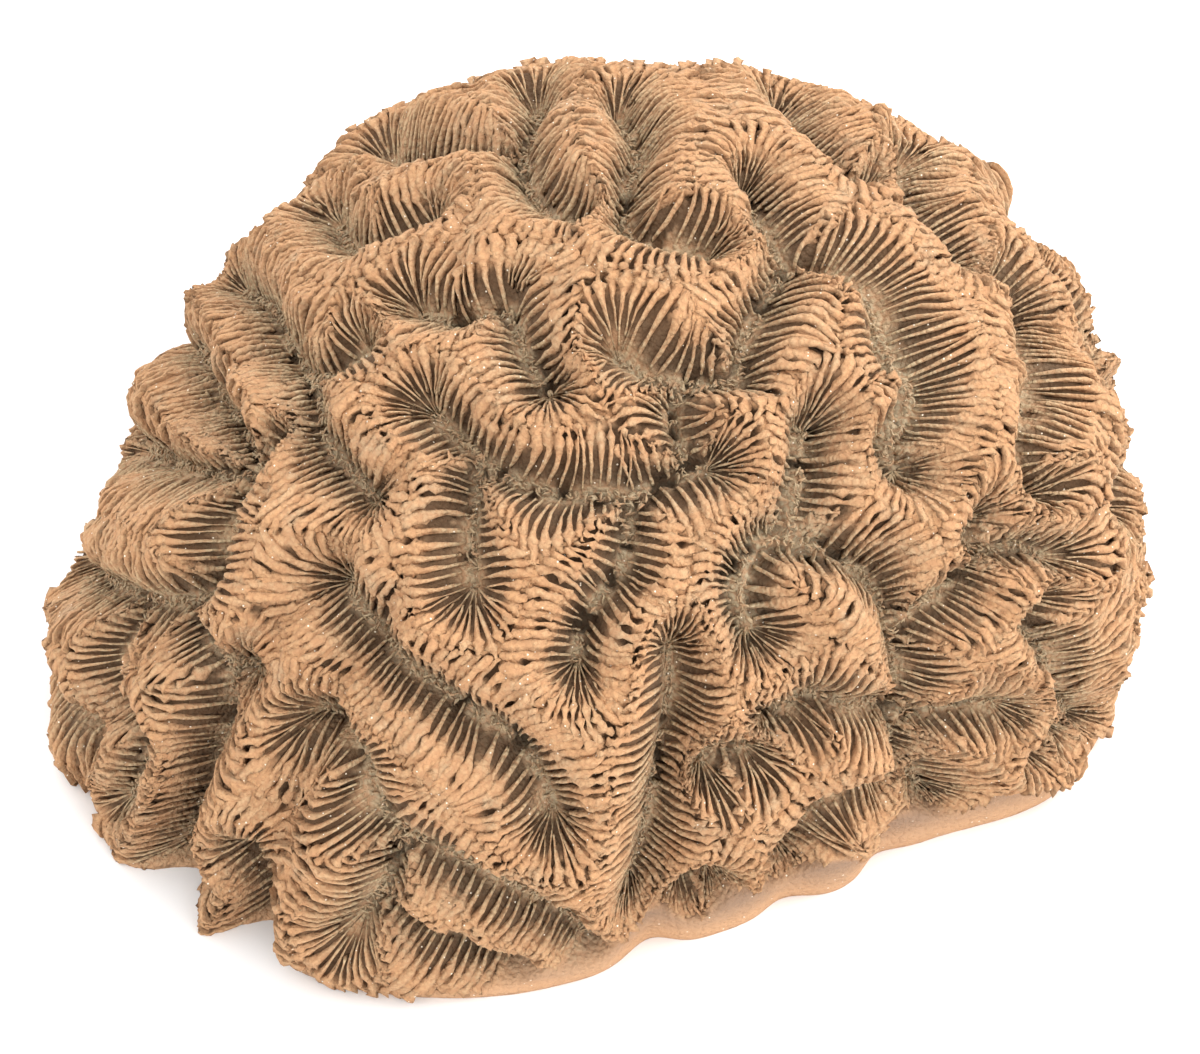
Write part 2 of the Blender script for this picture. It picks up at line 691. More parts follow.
@dataclass
class RibPlan:
    """Where each rib runs: from the edge of a valley floor, straight up the wall, to the crest's middle.

    Lengths are in millimetres. The tables from `feet` on have one row for each rib.
    """

    valleys: Valleys
    shape: RibShape = RibShape()
    pitch: float = 1.06
    pitch_reach: float = 5.5
    march_step: float = 0.35
    longest: float = 13.0
    shortest: float = 1.1
    free_end_gap: float = 1.2
    jitter: float = 0.1
    fan_jitter: float = 0.05
    major_start: float = 0.1
    minor_start: float = 0.8
    crowded_start: float = 1.9
    crowded_slope: float = 1.6
    start_spread: float = 0.35
    latest_start: float = 0.5
    fill_rounds: int = 3
    fill_points: int = 56000
    fill_margin: float = 0.8
    fill_start: float = 0.4
    rib_shares: tuple[float, float, int] = (0.1, 1.0, 14)
    new_rib_shares: tuple[float, float, int] = (0.3, 1.6, 8)
    bare_way: float = 0.85
    closing: float = 0.6
    closing_spread: float = 0.3
    closing_jitter: float = 0.07
    closing_range: tuple[float, float] = (0.38, 0.92)
    margin_gap: float = 0.1
    halfway_slack: float = 0.25
    slack_growth: float = 0.03
    bow: float = 1.0
    bow_jitter: float = 0.08
    bow_run: float = 6.0
    bow_most: float = 1.2
    overlap: tuple[float, float] = (-0.1, 0.3)
    neighbours: int = 16
    abreast: float = 0.5
    narrowest: float = 0.12
    widest: float = 1.5
    feet: np.ndarray = empty(0, 3)
    runs: np.ndarray = empty(0, 3)
    normals: np.ndarray = empty(0, 3)
    first: np.ndarray = empty(0)
    reach: np.ndarray = empty(0)
    closure: np.ndarray = empty(0)
    lines: np.ndarray = empty(0, 0, 3)
    across: np.ndarray = empty(0, 0, 3)
    room_left: np.ndarray = empty(0, 0)
    room_right: np.ndarray = empty(0, 0)

    def side_seeds(self, line: np.ndarray, side: float, rng: np.random.Generator) -> list[tuple]:
        """Ribs along one side of a valley, evenly spaced at crest level.

        Args:
            line: The valley's points.
            side: 1 for its left, -1 for its right.
            rng: Source of the small irregularities.

        Returns:
            A tuple of foot, run, normal and foot spacing for each rib.
        """
        dome = self.valleys.dome
        normal = dome.normal(line)
        along = unit(np.gradient(line, axis=0))
        across = unit(np.cross(normal, along)) * side
        rim = dome.floor(line + across * self.pitch_reach)
        steps = np.einsum("ij,ij->i", np.diff(rim, axis=0), along[:-1])
        length = running_total(np.maximum(steps, 0.0))
        foot_length = running_total(np.linalg.norm(np.diff(line, axis=0), axis=1))
        count = int(length[-1] / self.pitch)
        if count < 1:
            return []
        marks = (np.arange(count) + 0.5) * length[-1] / count
        marks = marks + rng.uniform(-self.jitter, self.jitter, count)
        order = np.arange(len(line))
        where = np.interp(marks, length + order * 1e-9, order)
        feet_at = np.interp(where, order, foot_length)
        spacing = np.gradient(feet_at) if count > 1 else np.ones(1)
        index = np.clip(where.astype(int), 0, len(line) - 2)
        part = (where - index)[:, None]
        foot = line[index] * (1 - part) + line[index + 1] * part
        run = unit(across[index] * (1 - part) + across[index + 1] * part)
        return list(zip(foot, run, normal[index], spacing))

    def fan_seeds(self, end: np.ndarray, outward: np.ndarray, rng: np.random.Generator) -> list[tuple]:
        """Ribs that fan out round a valley's free end.

        Args:
            end: The valley's last point.
            outward: The way it points there.
            rng: Source of the small irregularities.

        Returns:
            A tuple of foot, run, normal and foot spacing for each rib.
        """
        normal = self.valleys.dome.normal(end[None])[0]
        across = unit(np.cross(normal, outward))
        count = int(round(np.pi * self.pitch_reach / self.pitch))
        seeds = []
        for k in range(count):
            turn = np.pi * (k + 0.5) / count - np.pi / 2 + rng.uniform(-self.fan_jitter, self.fan_jitter)
            seeds.append((end, unit(outward * math.cos(turn) + across * math.sin(turn)), normal, 0.0))
        return seeds

    def draw(self) -> None:
        """Seeds all ribs, finds how far each runs, and lays its stations."""
        rng = np.random.default_rng(SEED)
        seeds: list[tuple] = []
        first: list[float] = []
        for number, line in enumerate(self.valleys.lines):
            others = self.valleys.places[self.valleys.owners != number]
            groups = [self.side_seeds(line, side, rng) for side in (1.0, -1.0)]
            for end, before in ((line[0], line[3]), (line[-1], line[-4])):
                if np.linalg.norm(others - end, axis=1).min() > self.free_end_gap:
                    groups.append(self.fan_seeds(end, unit(end - before), rng))
            for members in groups:
                seeds += members
                for order, (_, _, _, spacing) in enumerate(members):
                    minor = max(self.crowded_start - self.crowded_slope * spacing, self.minor_start)
                    first.append(minor if order % 2 else self.major_start)
        feet, runs, normals, _ = (np.array(part) for part in zip(*seeds))
        self.add(feet, runs, normals, np.array(first) + rng.uniform(0.0, self.start_spread, len(first)))
        for _ in range(self.fill_rounds):
            self.fill_bare_ground()
        closure = self.closing + self.closing_spread * lattice_noise(self.feet, Pattern.CLOSURE)
        closure = closure + rng.uniform(-self.closing_jitter, self.closing_jitter, len(closure))
        self.closure = np.clip(closure, *self.closing_range)
        self.lay_stations(rng)

    def add(self, feet: np.ndarray, runs: np.ndarray, normals: np.ndarray, first: np.ndarray) -> None:
        """Adds ribs to the plan, less those with no wall to stand on.

        Args:
            feet: Where they set out, on the valley lines.
            runs: Which way they run.
            normals: Outward directions at their feet.
            first: How far from its foot each begins, in millimetres.
        """
        reach = self.reaches(feet, runs)
        first = np.minimum(first, self.latest_start * reach)
        new = {"feet": feet, "runs": runs, "normals": normals, "first": first, "reach": reach}
        for name, rows in new.items():
            setattr(self, name, np.concatenate([getattr(self, name), rows[reach > self.shortest]]))

    def reaches(self, feet: np.ndarray, runs: np.ndarray) -> np.ndarray:
        """How far each rib runs before the next valley's ground or the bare band begins.

        Args:
            feet: Where the ribs set out.
            runs: Which way they run.

        Returns:
            One length for each rib.
        """
        dome = self.valleys.dome
        reach = np.zeros(len(feet))
        alive = np.ones(len(feet), bool)
        for s in np.arange(1, int(self.longest / self.march_step) + 1) * self.march_step:
            points = dome.floor(feet[alive] + runs[alive] * s)
            _, distance = self.valleys.nearest(points)
            off = np.linalg.norm(points - feet[alive], axis=1)
            crests = dome.crest(points)
            above = crests[:, 2] > self.valleys.margin(crests) + self.margin_gap
            ok = (distance > off - self.halfway_slack - self.slack_growth * off) & above
            ids = np.flatnonzero(alive)
            reach[ids[ok]] = s
            alive[ids[~ok]] = False
        return reach

    def straight_samples(self) -> np.ndarray:
        """Lays points along every rib's run.

        Returns:
            Floor-level points, one in each row.
        """
        shares = np.linspace(*self.rib_shares)
        line = self.feet[:, None, :] + times(self.runs, self.reach[:, None] * shares)
        return self.valleys.dome.floor(line.reshape(-1, 3))

    def fill_bare_ground(self) -> None:
        """Adds ribs where the ground lies too far from those there are, each from the nearest valley."""
        dome = self.valleys.dome
        order = np.arange(self.fill_points)
        turn = order * math.pi * (3.0 - math.sqrt(5.0))
        z = 1.0 - 2.0 * (order + 0.5) / self.fill_points
        flat = np.sqrt(1.0 - z * z)
        directions = np.stack([flat * np.cos(turn), flat * np.sin(turn), z], axis=-1)
        crests = dome.surface(directions, 0.0)
        living = crests[:, 2] > self.valleys.margin(crests) + self.fill_margin
        ground = dome.surface(directions[living], -dome.wall)
        index, distance = self.valleys.nearest(ground)
        _, off = nearest_in(build_tree(self.straight_samples()), ground)
        bare = np.flatnonzero((off > self.bare_way) & (distance > self.shortest) & (distance < self.longest))
        taken = np.zeros((0, 3))
        chosen = []
        for i in bare[np.argsort(-off[bare])]:
            if len(taken) and np.linalg.norm(taken - ground[i], axis=1).min() < self.pitch:
                continue
            chosen.append(i)
            foot = self.valleys.places[index[i]]
            samples = foot + (ground[i] - foot) * np.linspace(*self.new_rib_shares)[:, None]
            taken = np.concatenate([taken, samples])
        if not chosen:
            return
        feet = self.valleys.places[index[chosen]]
        normals = dome.normal(feet)
        way = ground[chosen] - feet
        runs = unit(way - normals * np.einsum("ij,ij->i", way, normals)[:, None])
        self.add(feet, runs, normals, self.fill_start * distance[chosen])

    def lay_stations(self, rng: np.random.Generator) -> None:
        """Lays every rib's stations on the floor level, slightly bent, and measures the room beside each.

        Args:
            rng: Source of the small irregularities.
        """
        count, stations = len(self.feet), self.shape.count()
        share = self.shape.shares(self.closure)
        start = self.first[:, None]
        end = self.reach[:, None] + rng.uniform(*self.overlap, (count, 1))
        way = start + (end - start) * share
        bend = self.bow * lattice_noise(self.feet, Pattern.BOW)[:, None]
        bend = bend * np.clip(end / self.bow_run, 0.0, self.bow_most)
        bow = (bend + rng.uniform(-self.bow_jitter, self.bow_jitter, (count, 1))) * np.sin(np.pi * share)
        side = unit(np.cross(self.normals, self.runs))
        line = self.feet[:, None, :] + times(self.runs, way) + times(side, bow)
        dome = self.valleys.dome
        self.lines = dome.floor(line.reshape(-1, 3)).reshape(count, stations, 3)
        along = unit(np.gradient(self.lines, axis=1))
        self.across = unit(np.cross(dome.direction(self.lines), along))
        places = self.lines.reshape(-1, 3)
        tree = build_tree(places)
        hits = (tree.find_n(place, self.neighbours) for place in places.tolist())
        near = np.array([[index for _, index, _ in found] for found in hits])
        offset = places[near] - places[:, None, :]
        lateral, forward = (
            np.einsum("ikj,ij->ik", offset, axes.reshape(-1, 3)) for axes in (self.across, along)
        )
        owner = np.arange(len(places)) // stations
        other = (near // stations != owner[:, None]) & (np.abs(forward) < self.abreast)
        for name, way_off in (("room_right", lateral), ("room_left", -lateral)):
            beside = np.where(other & (way_off > self.narrowest), way_off, self.widest)
            room = beside.min(axis=1).reshape(count, stations)
            padded = np.pad(room, ((0, 0), (1, 1)), mode="edge")
            setattr(self, name, (padded[:, :-2] + 2.0 * room + padded[:, 2:]) / 4.0)


@dataclass(frozen=True)
class Bar:
    """One modelled bar: its faces, and the station and the side of each of its corners."""

    faces: list[tuple[int, ...]]
    station: np.ndarray
    side: np.ndarray

    @classmethod
    def model(cls, sides: int, stations: int) -> "Bar":
        """Models the bar: a cylinder lying along X, cut into stations along its length.

        Args:
            sides: Number of its sides.
            stations: Number of rings of corners along it.

        Returns:
            The bar.
        """
        bpy.ops.object.select_all(action="DESELECT")
        bpy.ops.mesh.primitive_cylinder_add(
            vertices=sides, radius=0.5, depth=1.0, end_fill_type="NGON",
            location=(0.5, 0.0, 0.0), rotation=(0.0, math.pi / 2, 0.0),
        )
        bar = bpy.context.object
        bpy.ops.object.transform_apply(location=True, rotation=True, scale=True)
        bpy.ops.object.mode_set(mode="EDIT")
        bpy.ops.mesh.select_mode(type="EDGE")
        bpy.ops.mesh.select_all(action="DESELECT")
        bpy.ops.object.mode_set(mode="OBJECT")
        for edge in bar.data.edges:
            ends = [bar.data.vertices[k].co.x for k in edge.vertices]
            edge.select = abs(ends[0] - ends[1]) > 0.5
        bpy.ops.object.mode_set(mode="EDIT")
        bpy.ops.mesh.subdivide(number_cuts=stations - 2)
        bpy.ops.object.mode_set(mode="OBJECT")
        corners = np.array([v.co[:] for v in bar.data.vertices])
        faces = [tuple(p.vertices) for p in bar.data.polygons]
        station = np.rint(corners[:, 0] * (stations - 1)).astype(int)
        turn = np.mod(np.arctan2(corners[:, 2], corners[:, 1]) + 2 * np.pi, 2 * np.pi)
        side = np.floor(turn / (2 * np.pi) * sides + 0.01).astype(int) % sides
        bpy.data.objects.remove(bar, do_unlink=True)
        return cls(faces, station, side)

    def join_copies(self, name: str, points: np.ndarray, values: dict[str, np.ndarray]) -> bpy.types.Object:
        """Joins wrapped copies of the bar into one piece in metres.

        Args:
            name: The piece's name.
            points: Corners by copy, station, side and coordinate, in millimetres.
            values: Numbers for the materials by name, one for each corner of each copy.

        Returns:
            The piece.
        """
        count = len(points)
        corners = points[:, self.station, self.side, :].reshape(-1, 3)
        corners[:, 2] = np.maximum(corners[:, 2], 0.0)
        loops = np.concatenate([np.array(face) for face in self.faces])
        all_loops = (loops[None, :] + len(self.station) * np.arange(count)[:, None]).ravel()
        sizes = np.tile(np.array([len(face) for face in self.faces]), count)
        mesh = bpy.data.meshes.new(name)
        mesh.vertices.add(len(corners))
        mesh.vertices.foreach_set("co", in_metres(corners))
        mesh.loops.add(len(all_loops))
        mesh.loops.foreach_set("vertex_index", all_loops)
        mesh.polygons.add(len(sizes))
        mesh.polygons.foreach_set("loop_start", np.concatenate([[0], np.cumsum(sizes)[:-1]]))
        mesh.polygons.foreach_set("use_smooth", np.ones(len(sizes), bool))
        mesh.update(calc_edges=True)
        mesh.validate()
        store_values(mesh, values)
        piece = bpy.data.objects.new(name, mesh)
        bpy.context.scene.collection.objects.link(piece)
        return piece


def in_metres(points: np.ndarray) -> np.ndarray:
    """Coordinates in a row, in metres in the frame, of points in millimetres about the dome's axis."""
    return ((points + GROWTH_AXIS) * MM).ravel()


def store_values(mesh: bpy.types.Mesh, values: dict[str, np.ndarray]) -> None:
    """Stores numbers for the materials to read.

    Args:
        mesh: The mesh that keeps them.
        values: By name, one number for each of its corners.
    """
    for name, numbers in values.items():
        attribute = mesh.attributes.new(name, "FLOAT", "POINT")
        attribute.data.foreach_set("value", numbers.astype(np.float32))


@dataclass
class RibPiece:
    """All ribs of one quarter of the colony as one mesh, each a wrapped copy of one modelled blade."""

    plan: RibPlan
    quarter: Quarter
    tooth: float = 0.3
    bead: float = 0.15
    uneven: float = 0.3
    evened: float = 0.75
    standing_share: float = 0.34
    standing_height: tuple[float, float] = (0.25, 0.68)
    knobbly: float = 0.1

    def members(self) -> np.ndarray:
        """Finds the ribs that stand in this quarter.

        Returns:
            Their numbers in the plan.
        """
        bearing = np.degrees(np.arctan2(self.plan.feet[:, 1], self.plan.feet[:, 0])) % 360.0
        low, high = self.quarter.value
        within = (bearing >= low) & (bearing < high)
        if high > 360.0:
            within |= bearing < high - 360.0
        return np.flatnonzero(within)

    def build(self) -> bpy.types.Object:
        """Wraps a copy of the blade on to every rib's run and joins them into one mesh.

        Returns:
            The piece.
        """
        plan, shape, valleys = self.plan, self.plan.shape, self.plan.valleys
        ids = self.members()
        each, stations = (len(ids), 1), (len(ids), shape.count())
        rng = np.random.default_rng(SEED + list(Quarter).index(self.quarter) + 1)
        floor = plan.lines[ids].reshape(-1, 3)
        crest = valleys.dome.crest(floor)
        index, distance = valleys.nearest(floor)
        way = np.maximum(distance - valleys.half_widths[index], 0.0)
        relief = valleys.relief(way, crest)
        fused = fusion(floor).reshape(stations) * shape.on_crest()
        top = (relief * np.linalg.norm(crest - floor, axis=1) + small_lumps(crest) * relief).reshape(stations)
        top = top - np.array(shape.lowered) - self.tooth * rng.uniform(0.0, 1.0, stations)
        top = top - self.uneven * rng.uniform(0.0, 1.0, each) * (1.0 - self.evened * fused)
        standing = rng.uniform(*self.standing_height, each) * (rng.uniform(size=each) < self.standing_share)
        top = top + standing * np.array(shape.standing)
        across = plan.across[ids]
        pit = list(shape.pit)
        halves = []
        for room, way_out in ((plan.room_left[ids], -across), (plan.room_right[ids], across)):
            share = np.tile(np.array(shape.thickness), each)
            between = floor + (way_out * room[..., None] * 0.5).reshape(-1, 3)
            opened = pit_mask(between).reshape(stations)
            share[:, pit] = shape.filled + (share[:, pit] - shape.filled) * opened[:, pit]
            beads = rng.uniform(1.0 - self.bead, 1.0 + self.bead, stations)
            halves.append(np.clip(0.5 * share * room * beads, *shape.half_width))
        up = unit(crest - floor).reshape(*stations, 3)
        points = self.rings(floor.reshape(*stations, 3), up, across, top, halves, fused)
        points = points + rng.uniform(-self.knobbly, self.knobbly, points.shape)
        blade = Bar.model(len(shape.light), shape.count())
        return blade.join_copies("ribs_" + self.quarter.name.lower(), points, self.values(blade, top))

    def rings(self, floor: np.ndarray, up: np.ndarray, across: np.ndarray, top: np.ndarray,
              halves: list[np.ndarray], fused: np.ndarray) -> np.ndarray:
        """Corners of every station of every rib.

        Args:
            floor: Floor-level point of each station.
            up: Outward direction there.
            across: Sideways direction there.
            top: Height of the upper edge over the floor level.
            halves: Half thickness on the left and on the right.
            fused: How far each station has grown together with its neighbours.

        Returns:
            An array of rib, station, side and coordinate.
        """
        shape = self.plan.shape
        sides = unit(across - up * np.einsum("isk,isk->is", up, across)[..., None])
        beyond = np.arange(shape.count()) > shape.pit[-1]
        fused = np.maximum(fused, shape.fused_least * beyond)
        flatter = 1.0 - fused * (1.0 - shape.fused_shoulder)
        shoulder, bottom = top - np.array(shape.shoulder) * flatter, top - np.array(shape.depth)
        wider = 1.0 + shape.fused_overlap * fused
        wider[:, list(shape.pit)] = 1.0
        left, right = (half * wider for half in halves)
        corners = (
            (shoulder, right), (top, right * shape.edge_width), (top, -left * shape.edge_width),
            (shoulder, -left), (bottom, 0.5 * (right - left)),
        )
        return np.stack([floor + up * h[..., None] + sides * w[..., None] for h, w in corners], axis=2)

    def values(self, blade: Bar, top: np.ndarray) -> dict[str, np.ndarray]:
        """What the materials read at every corner of every rib.

        Args:
            blade: The modelled blade.
            top: Height of the upper edge over the floor level.

        Returns:
            The height on the wall, the depth in the gap, the thin edge and the rib's own tone.
        """
        count = len(top)
        rise = np.clip(top / self.plan.valleys.dome.wall, 0.0, 1.0)[:, blade.station].reshape(-1)
        light = np.array(self.plan.shape.light)[blade.side]
        thin = np.clip(1.0 - blade.station / (len(self.plan.shape.open_shares) - 1), 0.0, 1.0) * light
        tone = np.random.default_rng(SEED + count).uniform(0.0, 1.0, count)
        return {
            "rise": rise, "shade": np.tile(1.0 - light, count) * low_walls(rise),
            "thin": np.tile(thin, count), "tone": np.repeat(tone, len(light)),
        }


@dataclass
class Threads:
    """The spongy middle of the valleys: short twisted threads that bridge from side to side."""

    valleys: Valleys
    seed: int = SEED + 9
    spacing: float = 0.85
    each: int = 3
    sides: int = 4
    length: tuple[float, float] = (0.5, 1.3)
    radius: tuple[float, float] = (0.08, 0.17)
    taper: tuple[float, ...] = (0.7, 1.0, 1.0, 0.7)
    spread: float = 0.42
    curl: float = 0.3
    twist: tuple[float, float] = (0.8, 1.8)
    lift: tuple[float, float] = (-0.25, 0.15)
    arch: float = 0.18
    rise: float = 0.04
    paleness: float = 0.75

    def build(self) -> bpy.types.Object:
        """Lays the threads along every valley and joins them into one mesh.

        Returns:
            The piece.
        """
        rng = np.random.default_rng(self.seed)
        dome = self.valleys.dome
        lines = [even_points(line, self.spacing) for line in self.valleys.lines]
        ways = [unit(np.gradient(points, axis=0)) for points in lines]
        places, ways = (np.repeat(np.concatenate(rows), self.each, axis=0) for rows in (lines, ways))
        crests = dome.crest(places)
        solid = (crests[:, 2] > self.valleys.margin(crests)) & (hole_mask(places) < 0.5)
        places, ways = places[solid], ways[solid]
        single = (len(places), 1)
        up = dome.normal(places)
        across = unit(np.cross(up, ways))
        turn = rng.uniform(-np.pi, np.pi, single)
        run = ways * np.cos(turn) + across * np.sin(turn)
        sideways = np.cross(up, run)
        long = rng.uniform(*self.length, single)
        share = np.linspace(0.0, 1.0, len(self.taper))[None, :]
        forward = (share - 0.5) * long
        curl = rng.uniform(-self.curl, self.curl, single)
        curl = curl * np.sin(np.pi * share * rng.uniform(*self.twist, single))
        lift = rng.uniform(*self.lift, single) + self.arch * (1.0 - (2.0 * share - 1.0) ** 2)
        centre = places + across * rng.uniform(-self.spread, self.spread, single)
        middle = centre[:, None, :] + times(run, forward) + times(sideways, curl) + times(up, lift)
        thick = rng.uniform(*self.radius, single) * np.array(self.taper)
        angle = 2 * np.pi * np.arange(self.sides)[:, None] / self.sides
        ring = sideways[:, None, None, :] * np.cos(angle) + up[:, None, None, :] * np.sin(angle)
        points = middle[:, :, None, :] + ring * thick[:, :, None, None]
        thread = Bar.model(self.sides, len(self.taper))
        pale = np.repeat(rng.uniform(0.0, 1.0, len(places)), len(thread.station))
        values = {"rise": np.full(len(pale), self.rise), "thin": self.paleness * pale, "tone": pale}
        return thread.join_copies("valley_threads", points, values)


@dataclass
class ColonyBody:
    """The skeleton under and between the ribs: floors, gaps, filled crests, bare band and flat cut."""

    plan: RibPlan
    levels: int = 8
    lowest_crest: float = -4.0
    far_way: float = 6.0
    # Depth of the gaps at shares of the way from the valley to where the ribs meet
    gap_shares: tuple[float, ...] = (0.0, 0.12, 0.45, 0.8, 1.0, 1.15, 1.6)
    gap_depths: tuple[float, ...] = (0.2, 0.55, 1.35, 1.4, 0.95, 0.75, 0.6)
    gap_unevenness: float = 0.25
    fused_rise: float = 0.45
    fused_shares: tuple[float, float] = (0.95, 1.2)
    ribless_way: tuple[float, float] = (0.85, 1.25)
    ribless_depth: float = 0.35
    pit_depth: float = 1.3
    pit_shade: float = 0.9
    hole_depth: float = 1.6
    hole_way: float = 1.6
    lit_depth: float = 0.45
    dark_depth: float = 1.2
    floor_way: float = 0.6
    floor_roughness: float = 0.28
    fine_roughness: float = 0.6
    grain: float = 0.07
    band_relief: float = 0.8
    band_roughness: float = 0.25
    band_grain: tuple[float, float, float] = (0.35, 0.35, 1.6)
    margin_roll: float = 1.6
    cut_slack: float = 0.11
    cut_error: float = 1e-5
    cut_normal: float = -0.99

    def build(self) -> bpy.types.Object:
        """Shapes a finely divided ball into the colony's body and cuts it off flat.

        Returns:
            The piece.
        """
        bpy.ops.object.select_all(action="DESELECT")
        bpy.ops.mesh.primitive_ico_sphere_add(subdivisions=self.levels, radius=1.0, location=(0, 0, 0))
        body = bpy.context.object
        mesh = body.data
        body.name = mesh.name = "coral_body"
        coords = np.empty(len(mesh.vertices) * 3)
        mesh.vertices.foreach_get("co", coords)
        points, values = self.form(unit(coords.reshape(-1, 3)))
        mesh.vertices.foreach_set("co", in_metres(points))
        store_values(mesh, values)
        mesh.update()
        self.cut_flat(body)
        return body

    def form(self, directions: np.ndarray) -> tuple[np.ndarray, dict[str, np.ndarray]]:
        """Outer points of the body.

        Args:
            directions: Unit directions from the dome's centre.

        Returns:
            The points in millimetres, and by name what the materials read at each of them.
        """
        plan, valleys, dome = self.plan, self.plan.valleys, self.plan.valleys.dome
        floor = dome.surface(directions, -dome.wall)
        crest = dome.surface(directions, 0.0)
        way = np.full(len(directions), self.far_way)
        share = np.ones(len(directions))
        ribless = np.ones(len(directions))
        ids = np.flatnonzero(crest[:, 2] > self.lowest_crest)
        index, distance = valleys.nearest(floor[ids])
        way[ids] = distance - valleys.half_widths[index]
        rib, off = self.nearest_rib(floor[ids])
        share[ids] = distance / (plan.reach[rib] * plan.closure[rib])
        ribless[ids] = smooth_step(off, *self.ribless_way)
        relief = valleys.relief(way, crest)
        span = np.linalg.norm(crest - floor, axis=1)
        depth = np.interp(share, self.gap_shares, self.gap_depths)
        depth = depth * (1.0 + self.gap_unevenness * lattice_noise(floor, Pattern.GAP_DEPTH))
        depth = depth * (1.0 - self.fused_rise * fusion(floor) * smooth_step(share, *self.fused_shares))
        depth = depth * (1.0 - ribless) + self.ribless_depth * ribless
        pits = pit_mask(floor) * (share > 1.0) * (1.0 - ribless)
        depth = depth + (self.pit_depth - depth) * pits
        holes = hole_mask(floor) * np.clip(self.hole_way - way, 0.0, 1.0)
        spongy = lattice_noise(floor, Pattern.SPONGE)
        spongy = spongy + self.fine_roughness * lattice_noise(floor, Pattern.FINE_SPONGE)
        rough = self.floor_roughness * np.clip(1.0 - way / self.floor_way, 0.0, 1.0) * spongy
        height = relief * (span + small_lumps(crest)) - depth - self.hole_depth * holes + rough
        height = height + self.grain * lattice_noise(floor, Pattern.GRAIN)
        margin = valleys.margin(crest)
        living = smooth_step(crest[:, 2], margin - self.margin_roll / 2, margin + self.margin_roll / 2)
        streaks = lattice_noise(crest * np.array(self.band_grain), Pattern.BAND)
        bare = self.band_relief * span + self.band_roughness * streaks
        height = bare * (1.0 - living) + height * living
        shade = smooth_step(depth, self.lit_depth, self.dark_depth) * low_walls(relief)
        shade = np.maximum(shade, np.maximum(holes, self.pit_shade * pits)) * living
        points = floor + unit(crest - floor) * height[:, None]
        return points, {"rise": relief, "shade": shade, "band": 1.0 - living}

    def nearest_rib(self, points: np.ndarray) -> tuple[np.ndarray, np.ndarray]:
        """Number of the rib next to each floor-level point, and the way to it."""
        index, distance = nearest_in(build_tree(self.plan.lines.reshape(-1, 3)), points)
        return index // self.plan.lines.shape[1], distance

    def cut_flat(self, body: bpy.types.Object) -> None:
        """Cuts the body off at the ground and closes the cut.

        Args:
            body: The body.
        """
        bpy.context.view_layer.objects.active = body
        bpy.ops.object.mode_set(mode="EDIT")
        bpy.ops.mesh.select_all(action="SELECT")
        bpy.ops.mesh.bisect(plane_co=(0, 0, 0), plane_no=(0, 0, 1), use_fill=True, clear_inner=True)
        bpy.ops.mesh.select_all(action="DESELECT")
        bpy.ops.object.mode_set(mode="OBJECT")
        mesh = body.data
        coords = np.empty(len(mesh.vertices) * 3)
        mesh.vertices.foreach_get("co", coords)
        coords[2::3] = np.where(coords[2::3] < self.cut_slack * MM, 0.0, coords[2::3])
        mesh.vertices.foreach_set("co", coords)
        mesh.polygons.foreach_set("use_smooth", np.ones(len(mesh.polygons), bool))
        for polygon in mesh.polygons:
            if polygon.normal.z < self.cut_normal and abs(polygon.center.z) < self.cut_error:
                polygon.material_index = 1
                polygon.use_smooth = False
        mesh.update()


